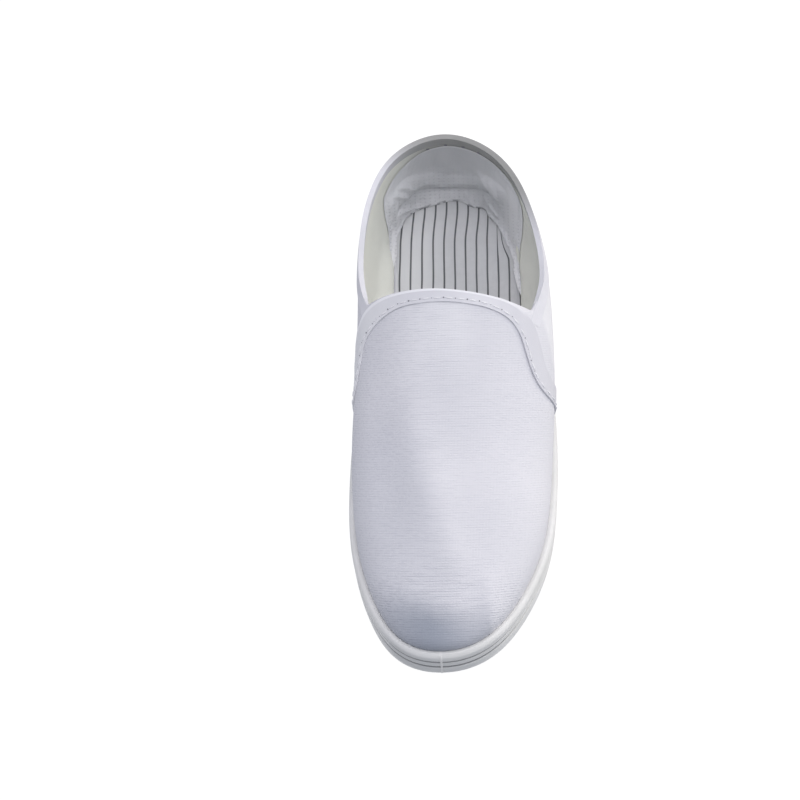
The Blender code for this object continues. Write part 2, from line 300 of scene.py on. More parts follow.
def floor_level(y):
    """Height of the sole's rim over the floor, raised at the toe and the waist."""
    spring = TOE_SPRING * max(0.0, 1 - (y - TOE_END) / TOE_SPRING_LENGTH) ** 2
    waist = min(max((y - ARCH_FRONT) / ARCH_LENGTH, 0.0), 1.0)
    return spring + ARCH_RISE * (0.5 - 0.5 * math.cos(2 * math.pi * waist))


def keep_faces(shape, wanted):
    """Delete the faces that aren't wanted."""
    unwanted = [face for face in shape.faces if not wanted(face)]
    bmesh.ops.delete(shape, geom=unwanted, context="FACES")
    return shape


def under_patch(depths):
    """The faces of the sole's underside at a depth above its rim."""
    def wanted(face):
        middle = face.calc_center_median()
        depth = middle.z - floor_level(middle.y)
        return face.normal.z < FACING_DOWN and depths[0] < depth < depths[1]

    return keep_faces(solid_copy("outsole"), wanted)


def keep_between(shape, low, high, axis):
    """Cut away what lies outside two planes across an axis."""
    for level, side in ((low, -1), (high, 1)):
        geometry = shape.verts[:] + shape.edges[:] + shape.faces[:]
        bmesh.ops.bisect_plane(
            shape, geom=geometry, plane_co=axis * level, plane_no=axis * side, clear_outer=True)


def made_verts(made):
    """The vertices among what an operator made."""
    return [part for part in made["geom"] if isinstance(part, bmesh.types.BMVert)]


def thicken(shape, shift):
    """Close an open patch into a solid by pushing a copy of it along the shift."""
    made = bmesh.ops.extrude_face_region(shape, geom=shape.faces[:])
    bmesh.ops.translate(shape, verts=made_verts(made), vec=shift)
    bmesh.ops.recalc_face_normals(shape, faces=shape.faces)


def join_into(whole, part):
    """Add a part to a whole and let the part go."""
    mesh = bpy.data.meshes.new("part")
    part.to_mesh(mesh)
    part.free()
    whole.from_mesh(mesh)
    bpy.data.meshes.remove(mesh)


def ease_edges(piece, width):
    """Round a piece's sharp edges."""
    easing = piece.modifiers.new("ease_edges", "BEVEL")
    easing.width = width
    easing.segments = 2
    easing.limit_method = "ANGLE"
    easing.angle_limit = EASED_EDGE


bars = bmesh.new()
ring_floor = under_patch(RING_DEPTH)
for number in range(BAR_COUNT):
    middle = BAR_FIRST + BAR_PITCH * number
    bar = ring_floor.copy()
    keep_between(bar, middle - BAR_WIDTH / 2, middle + BAR_WIDTH / 2, ALONG)
    thicken(bar, -UP * BAR_HEIGHT)
    join_into(bars, bar)
ring_floor.free()
tread_bars = add_piece("tread_bars", bars, rubber)
ease_edges(tread_bars, BAR_EDGE)

island = under_patch(ISLAND_DEPTH)
island_tree = BVHTree.FromBMesh(island)
corners = [Vector([pick(vert.co[axis] for vert in island.verts) for axis in (0, 1)]) for pick in (min, max)]
island.free()
size = corners[1] - corners[0]
centre = (corners[0] + corners[1]) / 2
waves = bmesh.new()
groove_grime_and_shade = waves.verts.layers.float.new("grime_and_shade")
bmesh.ops.create_grid(
    waves, x_segments=round(size.x / WAVE_CELL), y_segments=round(size.y / WAVE_CELL), size=0.5)
bmesh.ops.scale(waves, verts=waves.verts, vec=(size.x + 2 * WAVE_MARGIN, size.y + 2 * WAVE_MARGIN, 1))
bmesh.ops.translate(waves, verts=waves.verts, vec=centre.to_3d())
outside = []
for vert in waves.verts:
    level = floor_level(vert.co.y) + ISLAND_DEPTH[1]
    nearest = island_tree.find_nearest(Vector((vert.co.x, vert.co.y, level)))[0]
    if (nearest.xy - vert.co.xy).length > WAVE_MARGIN:
        outside.append(vert)
    swing = WAVE_SWING * math.sin(2 * math.pi * vert.co.x / WAVE_LENGTH)
    phase = ((vert.co.y + swing) / WAVE_PITCH) % 1.0
    rise = min((0.5 - abs(phase - 0.5)) / WAVE_WALL, 1.0)
    vert.co.z = nearest.z - WAVE_FOOT - WAVE_HEIGHT * ramp(rise, 0.0, 1.0)
    vert[groove_grime_and_shade] = WAVE_GRIME_AND_SHADE * max(0.0, 1 - WAVE_GRIME_AND_SHADE_FADE * rise)
bmesh.ops.delete(waves, geom=outside, context="VERTS")
bmesh.ops.reverse_faces(waves, faces=waves.faces)
tread_waves = add_piece("tread_waves", waves, rubber)
round_off(tread_waves, 1)

# Mould seam
# The thin line of rubber that the two halves of the mould leave at the toe and at the back of the heel. It
# bridges the grooves.
SEAM_WIDTH = 0.9 * MM
SEAM_HEIGHT = 0.15 * MM
SEAM_EDGE = 0.15 * MM
# End, place across, side, and lowest and highest point
SEAMS = (
    ("toe", SEAM_TOE, -1, 13.0 * MM, 25.6 * MM),
    ("heel", -3.0 * MM, 1, 1.6 * MM, 21.0 * MM),
)
SEAM_START = 117 * MM
SEAM_FACING = 0.2

for end, middle, side, low, high in SEAMS:
    sliver = keep_faces(
        solid_copy("outsole"),
        lambda face: face.normal.y * side > SEAM_FACING and face.calc_center_median().y * side > SEAM_START)
    keep_between(sliver, middle - SEAM_WIDTH / 2, middle + SEAM_WIDTH / 2, ACROSS)
    keep_between(sliver, low, high, UP)
    thicken(sliver, ALONG * side * SEAM_HEIGHT)
    seam = bmesh.new()
    for vert in sliver.verts:
        seam.verts.new(vert.co)
    sliver.free()
    bmesh.ops.convex_hull(seam, input=seam.verts)
    loose = [vert for vert in seam.verts if not vert.link_faces]
    bmesh.ops.delete(seam, geom=loose, context="VERTS")
    bmesh.ops.recalc_face_normals(seam, faces=seam.faces)
    seam_piece = add_piece("mould_seam_" + end, seam, rubber)
    ease_edges(seam_piece, SEAM_EDGE)

# Insole
# A loose inlay of grey anti-static cloth on a thin pad. Dark conductive threads run along it every 5 mm.
# It lies on the footbed, and its outer edge is bunched up a little beside the heel.
LINE_PITCH = 5.08 * MM
LINE_FIRST = -25.0 * MM
LINE_WIDTH = 0.40 * MM
LINE_EDGE = (LINE_WIDTH * 1.4, LINE_WIDTH * 0.6)
LINE_DRIFT = 1.2 * MM
LINE_DRIFT_LENGTH = 26 * MM
LINE_INK = 0.92
LINE_RISE = 0.6
LINE_BLACK = (0.06, 0.065, 0.07)
# Lines are counted from the inner side, and stop at this count. In front of the short line's end there is
# one more of them.
LAST_LINE = (10.6, 10.55)
SHORT_LINE = (74 * MM, 72 * MM)
# Towards the heel the outer lines are drawn together, and the rest hook to the outer side
BUNCH_EDGE = 20.3 * MM
BUNCH_SHARE = 1.9
BUNCH_ALONG = (80 * MM, 98 * MM)
HOOK = 1.4 * MM
HOOK_ALONG = (90 * MM, 112 * MM)
HOOK_ACROSS = (20 * MM, 12 * MM)
INLAY_WEAVE = 0.55 * MM
INLAY_DEPTH = 0.15 * MM
INLAY_FUZZ = 3 * MM
INLAY_FUZZ_EDGE = (0.25, 0.75)
INLAY_GREY = ((0.64, 0.65, 0.655), (0.69, 0.70, 0.705))
INLAY_BACK = (48 * MM, 95 * MM)
INLAY_BACK_SHARE = 0.3
INLAY_BACK_GREY = (0.56, 0.57, 0.58)
# Painted light along an axis, lighter towards the front, lightest just behind the throat and lighter on the
# inner side: where each starts and where it is full in millimetres, its share and its colour
INLAY_PAINTED_LIGHT = (
    ("Y", 62, 34, 0.7, (0.78, 0.79, 0.79)),
    ("Y", 46, 33, 1.0, (0.93, 0.935, 0.935)),
    ("X", 0, -20, 1.0, (0.77, 0.78, 0.78)),
)
WEAVE_SHARE = 0.3
WEAVE_SHADE = (0.56, 0.575, 0.585)
PALE_EDGE = (-26.3 * MM, -26.9 * MM)
PALE_EDGE_WHITE = (0.86, 0.865, 0.88)
PAD_CUTS = 13
PAD_LONG_EDGE = 12 * MM
PAD_RISE = 1.4 * MM
PAD_RISE_MIDDLE = 78 * MM
PAD_RISE_LENGTH = 15 * MM
PAD_RISE_EDGE = 22 * MM
PAD_RISE_WIDTH = 8 * MM


def tinted(place, colour, tints):
    """Colour with tints that come in along an axis, from the rows of a table."""
    for axis, start, full, share, tint in tints:
        colour = (place.part(axis).step(start * MM, full * MM) * share).blend(colour, tint)
    return colour


inlay_cloth, place = new_finish("striped_inlay")
x = place.part("X")
y = place.part("Y")
drift = (place.noise(LINE_DRIFT_LENGTH, 1.0) - 0.5) * LINE_DRIFT
bunch = x.maths("MAXIMUM", x - BUNCH_EDGE, 0.0) * y.step(*BUNCH_ALONG) * BUNCH_SHARE
hook = y.step(*HOOK_ALONG) * x.step(*HOOK_ACROSS) * HOOK
count = (x + drift + bunch - hook - LINE_FIRST) * (1 / LINE_PITCH)
off_line = count.away(count.maths("ROUND", count)) * LINE_PITCH
inked = (count - y.step(*SHORT_LINE)).step(*LAST_LINE)
line = off_line.step(*LINE_EDGE) * inked
weave = x.ribs(INLAY_WEAVE) * y.ribs(INLAY_WEAVE)
fuzz = place.noise(INLAY_FUZZ, 3.0)
ground = fuzz.step(*INLAY_FUZZ_EDGE).blend(*INLAY_GREY)
ground = (y.step(*INLAY_BACK) * fuzz * INLAY_BACK_SHARE).blend(ground, INLAY_BACK_GREY)
# Painted light: lighter at the front, behind the throat and on the inner side
ground = tinted(place, ground, INLAY_PAINTED_LIGHT)
ground = (weave * WEAVE_SHARE).blend(ground, WEAVE_SHADE)
ground = x.step(*PALE_EDGE).blend(ground, PALE_EDGE_WHITE)
close_finish(place, weave + line * LINE_RISE, INLAY_DEPTH, {
    "Base Color": (line * LINE_INK).blend(ground, LINE_BLACK),
    "Roughness": 0.9 - line * 0.25,
    "Sheen Weight": 0.15,
})

pad = solid_copy("insole")
long_edges = [edge for edge in pad.edges if edge.calc_length() > PAD_LONG_EDGE]
bmesh.ops.subdivide_edges(pad, edges=long_edges, cuts=PAD_CUTS, use_grid_fill=True)
for vert in pad.verts:
    beside_heel = math.exp(-((vert.co.y - PAD_RISE_MIDDLE) / PAD_RISE_LENGTH) ** 2)
    edge_share = min(max(0.0, (vert.co.x - PAD_RISE_EDGE) / PAD_RISE_WIDTH), 1.0)
    vert.co.z += PAD_RISE * beside_heel * edge_share ** 2
inlay = add_piece("insole_inlay", pad, inlay_cloth)
round_off(inlay, 2)
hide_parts("insole")

# Upper
# White canvas with a slight lilac cast, woven with fine cross ribs, pulled over the last and cemented in
# the sole. Vamp and quarters are one wall here. It has settled into a few soft hollows and ridges.
RIB_PITCH = 1.03 * MM
RIB_TILT = math.radians(30)
RIB_BEND = 0.9 * MM
RIB_BEND_LENGTH = 45 * MM
RIB_LEAST = 0.25
RIB_DEPTH = 0.1 * MM
RIB_SHADE_SHARE = 0.22
RIB_SHADE = (0.56, 0.57, 0.63)
# Ribs stand out more towards the inner side and at the toe
PROUD_LEAST = 0.5
PROUD_INNER = (14 * MM, -22 * MM)
PROUD_INNER_SHARE = 0.5
PROUD_TOE = (-84 * MM, -98 * MM)
PROUD_TOE_SHARE = 0.7
SLUB = 1.1 * MM
SLUB_STRETCH = (0.055, 1, 1)
SLUB_EDGE = (0.35, 0.68)
WARP_PITCH = 0.62 * MM
WARP_SHARE = 0.2
LINT = 0.4 * MM
LINT_SHARE = 0.25
# Behind this slanting line the ribs run along the quarters
QUARTER_SLANT = 1.16
QUARTER_START = (-36 * MM, -30 * MM)
CANVAS_PATCH = 35 * MM
CANVAS_WHITE = ((0.70, 0.70, 0.73), (0.73, 0.728, 0.755))
# Painted shade on the vamp's inner side towards the toe
INNER_SHADE_ACROSS = (6 * MM, -26 * MM)
INNER_SHADE_ALONG = (0.0, -50 * MM)
INNER_SHADE_SHARE = 0.3
INNER_SHADED_WHITE = (0.60, 0.615, 0.655)
# Painted light on the middle of the vamp towards the throat
LIT_THROAT_ALONG = (-14 * MM, 16 * MM)
LIT_THROAT_OUTER = (16 * MM, 2 * MM)
LIT_THROAT_INNER = (-30 * MM, -12 * MM)
LIT_THROAT_WHITE = (0.79, 0.79, 0.81)
# Painted light on the outer quarter, a whiter canvas there
LIT_OUTER_QUARTER = (24 * MM, 42 * MM)
LIT_QUARTER_WHITE = (0.79, 0.79, 0.805)
# Painted shade on the front of the toe, which faces away from the light: a blue-grey
TOE_SHADE_ALONG = (-100.5 * MM, -117 * MM)
TOE_SHADE_INNER = (-50 * MM, -8 * MM)
TOE_SHADE_OUTER = (17.5 * MM, 14 * MM)
TOE_SHADE_DEEPEST = (14 * MM, -10 * MM)
TOE_SHADE_LEAST = 0.53
TOE_SHADE_SHARE = 0.95
TOE_SHADE_GREY = (0.30, 0.33, 0.385)
# The painted shade's edge slants back on the inner side and is ragged, and the ribs are flatter under it
TOE_SHADE_SLANT = 0.3
TOE_SHADE_FLATTENS = 0.4
RAGGED = 9 * MM
RAGGED_ALONG = 0.5
RAGGED_ACROSS = 0.3
# Start and end in plan, width and depth of each hollow in millimetres. A ridge has a negative depth.
CREASES = (
    ((-20, -6), (-18, -30), 8, -1.5),
    ((-18, -30), (-11.5, -54), 8, -2.4),
    ((-11.5, -54), (-2, -84), 8, -2.1),
    ((-29, -24), (-26, -80), 7, 0.8),
    ((2, -56), (22, -58), 16, -0.6),
    ((15.5, -96), (16.5, -114), 4, -1.5),
    ((-20, -112), (8, -114), 6, 1.5),
    ((28, 2), (36, -42), 9, 0.5),
)
CANVAS_EDGE = math.radians(50)

canvas, place = new_finish("ribbed_canvas")
x, y, z = place.axes()
quarter = (y - z * QUARTER_SLANT).step(*QUARTER_START)
over_vamp = y * math.cos(RIB_TILT) + z * math.sin(RIB_TILT)
bend = (place.noise(RIB_BEND_LENGTH, 1.0) - 0.5) * RIB_BEND
drawn_out = place.node("Mapping", {}, {"Vector": place, "Scale": SLUB_STRETCH})
slub = drawn_out.noise(SLUB).step(*SLUB_EDGE)
crosswise = (over_vamp + bend).ribs(RIB_PITCH) * (1 - quarter)
lengthwise = (z + bend).ribs(RIB_PITCH) * quarter
ragged = (place.noise(RAGGED) - 0.5) * RAGGED
to_inner_side = x.maths("MINIMUM", x, 0.0)
# Painted shade on the front of the toe
toe_shade = (y + ragged * RAGGED_ALONG + to_inner_side * TOE_SHADE_SLANT).step(*TOE_SHADE_ALONG)
toe_shade = toe_shade * (TOE_SHADE_LEAST + x.step(*TOE_SHADE_DEEPEST) * (1 - TOE_SHADE_LEAST))
toe_shade = toe_shade * x.step(*TOE_SHADE_INNER) * (x + ragged * RAGGED_ACROSS).step(*TOE_SHADE_OUTER)
proud = PROUD_LEAST + x.step(*PROUD_INNER) * PROUD_INNER_SHARE
proud = proud + y.step(*PROUD_TOE) * PROUD_TOE_SHARE
rib = (crosswise + lengthwise) * (RIB_LEAST + slub) * (1 - toe_shade * TOE_SHADE_FLATTENS) * proud
white = place.noise(CANVAS_PATCH).clear().blend(*CANVAS_WHITE)
# Painted shade, greyer on the vamp's inner side towards the toe
greyed = x.step(*INNER_SHADE_ACROSS) * y.step(*INNER_SHADE_ALONG)
white = (greyed * INNER_SHADE_SHARE).blend(white, INNER_SHADED_WHITE)
# Painted light on the middle of the vamp towards the throat
lit_throat = y.step(*LIT_THROAT_ALONG) * x.step(*LIT_THROAT_OUTER) * x.step(*LIT_THROAT_INNER)
white = lit_throat.blend(white, LIT_THROAT_WHITE)
# Painted light on the outer quarter
white = (quarter * x.step(*LIT_OUTER_QUARTER)).blend(white, LIT_QUARTER_WHITE)
white = (rib * RIB_SHADE_SHARE).blend(white, RIB_SHADE)
close_finish(place, rib + x.ribs(WARP_PITCH) * WARP_SHARE + place.noise(LINT) * LINT_SHARE, RIB_DEPTH, {
    "Base Color": (toe_shade * TOE_SHADE_SHARE).blend(white, TOE_SHADE_GREY),
    "Roughness": 0.82 + slub * 0.1,
    "Sheen Weight": 0.12,
})


def off_segment(point, start, end):
    """Distance in plan from a straight line between two points."""
    span = end - start
    share = min(max((point - start).dot(span) / span.length_squared, 0.0), 1.0)
    return (start + span * share - point).length


shell = solid_copy("upper")
for vert in shell.verts:
    for start, end, width, depth in CREASES:
        away = off_segment(vert.co.xy, Vector(start) * MM, Vector(end) * MM)
        vert.co.z -= depth * MM * math.exp(-(away / (width * MM)) ** 2)
hold_edges(shell, CANVAS_EDGE)
body = add_piece("upper_canvas", shell, canvas)
round_off(body, 2)
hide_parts("upper")
canvas_wall = BVHTree.FromObject(body, bpy.context.evaluated_depsgraph_get())

# Quarter lining
# Plain beige-grey cotton, pasted to the inside of the quarters. Its foot stands off the wall and comes in
# over the edge of the inlay, most on the inner side.
HEEL_MIDDLE = Vector((-1.5, 85, 0)) * MM
SIDE_START = 90
LINING_COLUMNS = 150
LINING_ROWS = 26
LINING_END = 144
LINING_FOOT = 16.9 * MM
# Places round the wall run from the middle of the heel: degrees as far as 90, then millimetres towards
# the toe. Heights and distances are in millimetres.
LINING_TOP = (
    (-144, 54.2), (-125, 51.9), (-90, 56.4), (-60, 57.8), (0, 58.6),
    (60, 57.8), (90, 56.4), (125, 51.9), (144, 54.2),
)
LINING_BULGE = (
    (-144, 3.0), (-118, 4.6), (-98, 4.2), (-87, 1.2), (-74, 0.3), (109, 0.3), (124, 1.6), (144, 2.2),
)
BULGE_TOP = 27 * MM
BULGE_CURVE = 1.5
LINING_STAND = 0.35 * MM
STEP_DOWN = 0.3 * MM
TWILL_PITCH = 0.7 * MM
TWILL_DEPTH = 0.08 * MM
LINING_FUZZ = 1.2 * MM
LINING_FUZZ_SHARE = 0.5
LINING_PATCH = 20 * MM
LINING_BEIGE = ((0.855, 0.86, 0.775), (0.895, 0.90, 0.815))
# Lining and tape carry painted shade at the back, a darker grey. On the lining the painted shade is skewed
# to the outer side.
BACK_SHADE_ALONG = (98 * MM, 122 * MM)
BACK_SHADE_SKEW = 0.3
SHADED_LINING = (0.46, 0.46, 0.43)


def table_value(table, at):
    """Read a table of places and values, with straight lines between its rows."""
    for (low, low_value), (high, high_value) in zip(table, table[1:]):
        if at <= high:
            share = max(0.0, (at - low) / (high - low))
            return low_value + (high_value - low_value) * share
    return table[-1][1]


def inner_wall(at, height):
    """Point on the inside of the upper at a place round it, and the direction from there into the shoe."""
    turn = math.radians(max(-SIDE_START, min(SIDE_START, at)))
    outward = Vector((math.sin(turn), math.cos(turn), 0))
    origin = HEEL_MIDDLE + UP * height
    origin.y -= max(0.0, abs(at) - SIDE_START) * MM
    wall = canvas_wall.ray_cast(origin, outward)[0]
    while wall is None:
        origin.z -= STEP_DOWN
        wall = canvas_wall.ray_cast(origin, outward)[0]
    wall.z = height
    return wall, -outward


beige, place = new_finish("beige_lining")
x, y, z = place.axes()
twill = (x + y + z).ribs(TWILL_PITCH)
unshaded = place.noise(LINING_PATCH, 3.0).clear().blend(*LINING_BEIGE)
close_finish(place, twill + place.noise(LINING_FUZZ) * LINING_FUZZ_SHARE, TWILL_DEPTH, {
    # Painted shade at the back, skewed to the outer side
    "Base Color": (y + x * BACK_SHADE_SKEW).step(*BACK_SHADE_ALONG).blend(unshaded, SHADED_LINING),
    "Roughness": 0.9 - twill * 0.08,
    "Sheen Weight": 0.1,
})

lining = bmesh.new()
bmesh.ops.create_grid(lining, x_segments=LINING_COLUMNS, y_segments=LINING_ROWS, size=0.5)
for vert in lining.verts:
    at = vert.co.x * 2 * LINING_END
    top = table_value(LINING_TOP, at) * MM
    height = LINING_FOOT + (top - LINING_FOOT) * (vert.co.y + 0.5)
    wall, inward = inner_wall(at, height)
    bulge = table_value(LINING_BULGE, at) * MM * ramp(height, BULGE_TOP, LINING_FOOT) ** BULGE_CURVE
    vert.co = wall + inward * (LINING_STAND + bulge)
bmesh.ops.recalc_face_normals(lining, faces=lining.faces)
lining_piece = add_piece("quarter_lining", lining, beige)

# Heel lining
# A loose pocket of pale grey cloth over the heel's stiffener, sewn on below the collar and cemented under
# the inlay. It is cut too long, so it lies in two slack rolls, the lower one over the inlay's end.
POCKET_ENDS = (-104, 116)
POCKET_COLUMNS = 190
POCKET_ROWS = 64
POCKET_STAND = 0.7 * MM
POCKET_FLOOR = 17.0 * MM
# Share of the cloth that lies on the wall, and the height where it turns towards the inlay
WALL_SHARE = 0.62
FOLD_START = 24 * MM
POCKET_TOP = (
    (-104, 17.6), (-88, 18.2), (-77, 21), (-73, 25), (-69, 33), (-65, 41), (-53, 44.2), (-39, 47.7),
    (-21, 51.6), (0, 53.6), (30, 54), (55, 53.4), (70, 52.4), (79, 50), (85, 45), (90, 35), (94, 26),
    (101, 20), (116, 17.6),
)
# How far from the wall its front edge lies on the inlay
POCKET_FOOT = (
    (-104, 2.0), (-97, 4.4), (-90, 4.5), (-81, 3.9), (-69, 3.6), (-58, 3.8), (-46, 3.4), (-34, 4.2),
    (-23, 5.9), (-11, 6.7), (0, 5.5), (9, 4.7), (13, 4.8), (18, 5.5), (24, 5.0), (32, 2.9), (36, 2.8),
    (41, 4.0), (47, 4.2), (58, 3.5), (81, 3.7), (87, 3.2), (104, 2.7), (111, 1.8), (116, 0.3),
)
# Where each roll starts, as a place round the heel and a share of the way from the top to the front edge
UPPER_ROLL = ((-62, 0.22), (-36, 0.25), (-20, 0.38), (0, 0.50), (23, 0.40), (36, 0.30), (62, 0.28))
LOWER_ROLL = (
    (-62, 0.62), (-48, 0.61), (-30, 0.58), (-23, 0.60), (-11, 0.68), (0, 0.72), (12, 0.66), (23, 0.58),
    (35, 0.53), (46, 0.50), (62, 0.50),
)
ROLL_HEIGHT = 1.7 * MM
ROLL_FADE = (44, 66)
# Folds across the rolls: start and end, placed in the same way, then half width and height in millimetres
FOLDS = (
    ((-60, 0.15), (-57, 0.85), 3.0, 1.6),
    ((-50, 0.30), (-38, 0.56), 1.5, 1.3),
    ((-42, 0.28), (-30, 0.50), 1.3, 1.1),
    ((-52, 0.66), (-40, 0.92), 1.5, 1.1),
    ((-24, 0.74), (-20, 0.95), 1.2, 0.6),
    ((-20, 0.50), (-4, 0.62), 1.2, 0.6),
    ((4, 0.58), (20, 0.50), 1.2, 0.6),
    ((14, 0.76), (19, 0.95), 1.2, 0.7),
    ((26, 0.34), (44, 0.47), 1.3, 1.2),
    ((40, 0.34), (52, 0.52), 1.5, 1.4),
    ((36, 0.62), (50, 0.80), 1.4, 1.2),
    ((66, 0.20), (84, 0.75), 3.0, 1.0),
)
FOLD_TOP = (0.1, 0.3)
FOLD_FRONT = (1.0, 0.93)
MM_PER_DEGREE = 0.55
MM_PER_SHARE = 46
# Shares of the way down where the turned rim and the painted shadow along the front edge begin and are full
RIM_SHARES = (0.025, 0.012)
FRONT_SHADOW_SHARES = (0.975, 0.99)
SLACK_HEIGHT = (42 * MM, 30 * MM)
CRUMPLE = 2.4 * MM
CRUMPLE_DEPTH = 0.9 * MM
CRUMPLE_LEAST = 0.2
POCKET_WEAVE = 0.6 * MM
POCKET_WEAVE_SHARE = 0.15
DOT_PITCH = 2.3 * MM
DOT_EDGE = (0.7, 0.95)
DOT_SINK = 0.25
DOT_SHARE = 0.3
DOT_SHADE = (0.42, 0.44, 0.47)
POCKET_PATCH = 12 * MM
POCKET_PALE = ((0.695, 0.705, 0.715), (0.765, 0.77, 0.78))
# Painted shade, darker grey at the back of the pocket above its rolls
POCKET_SHADE_BACK = (104 * MM, 120 * MM)
POCKET_SHADE_SHARE = 0.4
POCKET_SHADED = (0.52, 0.525, 0.53)
# Painted light, paler towards both sides of the pocket
LIT_SIDES = (16 * MM, 30 * MM)
POCKET_LIT = (0.83, 0.835, 0.845)
GREYED_FROM = (-12 * MM, 12 * MM)
GREYED_AS_FAR_AS = (30 * MM, 22 * MM)
POCKET_GREYED_SHARE = 0.35
POCKET_GREYED = (0.50, 0.52, 0.54)
RIM_WHITE_SHARE = 0.8
RIM_WHITE = (0.88, 0.88, 0.87)
# Painted shadow along the pocket's front edge on the inlay, broken up by the crumple
FRONT_SHADOW_EDGE = (0.42, 0.55)
FRONT_SHADOW_SHARE = 0.75
FRONT_SHADOW = (0.16, 0.17, 0.18)

pocket_cloth, place = new_finish("heel_pocket_cloth")
x, y, z = place.axes()
slack = z.step(*SLACK_HEIGHT)
crumple = place.noise(CRUMPLE, 4.0)
weave = x.ribs(POCKET_WEAVE) * z.ribs(POCKET_WEAVE)
dots = (x.ribs(DOT_PITCH) * (y + z).ribs(DOT_PITCH)).step(*DOT_EDGE) * slack
# Painted shadow along the front edge
front_edge_shadow = place.painted("shadowed_front_edge") * crumple.step(*FRONT_SHADOW_EDGE)
# Painted shade at the back, above the rolls
back_shade = y.step(*POCKET_SHADE_BACK) * (1 - slack)
greyed = x.step(*GREYED_FROM) * x.step(*GREYED_AS_FAR_AS) * slack
pale = place.noise(POCKET_PATCH).clear().blend(*POCKET_PALE)
pale = (back_shade * POCKET_SHADE_SHARE).blend(pale, POCKET_SHADED)
# Painted light towards both sides
pale = x.away().step(*LIT_SIDES).blend(pale, POCKET_LIT)
pale = (greyed * POCKET_GREYED_SHARE).blend(pale, POCKET_GREYED)
pale = (dots * DOT_SHARE).blend(pale, DOT_SHADE)
pale = (place.painted("turned_rim") * RIM_WHITE_SHARE).blend(pale, RIM_WHITE)
relief = crumple * (CRUMPLE_LEAST + slack) + weave * POCKET_WEAVE_SHARE - dots * DOT_SINK
close_finish(place, relief, CRUMPLE_DEPTH, {
    "Base Color": (front_edge_shadow * FRONT_SHADOW_SHARE).blend(pale, FRONT_SHADOW),
    "Roughness": 0.86 + crumple * 0.1,
    "Sheen Weight": 0.15,
})


def roll(share, start, end):
    """Round swelling from 0 to 1 between two shares."""
    across = min(max((share - start) / (end - start), 0.0), 1.0) * 2 - 1
    return math.sqrt(1 - across * across)


def on_cut(at, share):
    """Point on the flat cut of the heel lining in millimetres, from a place round the heel and a share."""
    return Vector((at * MM_PER_DEGREE, share * MM_PER_SHARE))


pocket = bmesh.new()
turned_rim = pocket.verts.layers.float.new("turned_rim")
shadowed_front_edge = pocket.verts.layers.float.new("shadowed_front_edge")
bmesh.ops.create_grid(pocket, x_segments=POCKET_COLUMNS, y_segments=POCKET_ROWS, size=0.5)
for vert in pocket.verts:
    at = POCKET_ENDS[0] + (POCKET_ENDS[1] - POCKET_ENDS[0]) * (vert.co.x + 0.5)
    share = 0.5 - vert.co.y
    in_middle = 1 - ramp(abs(at), *ROLL_FADE)
    vert[turned_rim] = ramp(share, *RIM_SHARES)
    # Painted shadow along the front edge, only in the middle
    vert[shadowed_front_edge] = ramp(share, *FRONT_SHADOW_SHARES) * in_middle
    top = table_value(POCKET_TOP, at) * MM
    foot = table_value(POCKET_FOOT, at) * MM
    fold_start = min(FOLD_START, top)
    turn = max(0.0, (share - WALL_SHARE) / (1 - WALL_SHARE)) * math.pi / 2
    down = min(share / WALL_SHARE, 1.0)
    height = top + (fold_start - top) * down
    wall, inward = inner_wall(at, height)
    stand_off = POCKET_STAND + foot * (1 - math.cos(turn))
    lift = 0.0
    for start, end, width, depth in FOLDS:
        away = off_segment(on_cut(at, share), on_cut(*start), on_cut(*end))
        lift += depth * MM * math.exp(-(away / width) ** 2)
    lift *= ramp(share, *FOLD_TOP) * ramp(share, *FOLD_FRONT)
    upper_start = table_value(UPPER_ROLL, at)
    lower_start = table_value(LOWER_ROLL, at)
    rolls = roll(share, upper_start, lower_start) + roll(share, lower_start, 1.0)
    lift += ROLL_HEIGHT * rolls * in_middle
    wall.z = height - (fold_start - POCKET_FLOOR) * math.sin(turn)
    lean = Vector((inward.x * math.cos(turn), inward.y * math.cos(turn), math.sin(turn)))
    vert.co = wall + inward * stand_off + lean * lift
bmesh.ops.recalc_face_normals(pocket, faces=pocket.faces)
pocket_piece = add_piece("heel_pocket", pocket, pocket_cloth)

# Vamp band
# A smooth white strip of cotton, folded under on both edges. It is sewn on along the throat and down over
# both side seams. Where its back fold faces the opening, a painted highlight lies along it.
BAND_MIDDLE = 0.9 * MM
BAND_UNDER = 0.05 * MM
BAND_RISE = 0.7 * MM
BAND_EDGE = 0.32 * MM
HIGHLIGHT_FACING = 0.05
RIM_LEAN = 0.5
STRIP_FUZZ = 0.6 * MM
STRIP_DEPTH = 0.06 * MM
STRIP_PATCH = 18 * MM
STRIP_WHITE = ((0.70, 0.70, 0.73), (0.74, 0.74, 0.765))
# Painted shade towards the band's outer side and painted light towards its inner side, in rows like the
# inlay's
STRIP_PAINTED_LIGHT = (
    ("X", 16, 36, 0.7, (0.60, 0.60, 0.635)),
    ("X", -16, -36, 0.7, (0.82, 0.825, 0.83)),
)
# Painted highlight on the band's back fold, only along the throat where it faces the opening
FOLD_HIGHLIGHT_ALONG = (21 * MM, 29 * MM)
FOLD_HIGHLIGHT_EDGE = (0.68, 0.92)
FOLD_HIGHLIGHT_WHITE = (0.92, 0.92, 0.935)

strip_cloth, place = new_finish("smooth_strip")
fine = place.noise(STRIP_FUZZ, 3.0)
flat_cloth = place.noise(STRIP_PATCH).clear().blend(*STRIP_WHITE)
# Painted shade on the outer side and painted light on the inner side
flat_cloth = tinted(place, flat_cloth, STRIP_PAINTED_LIGHT)
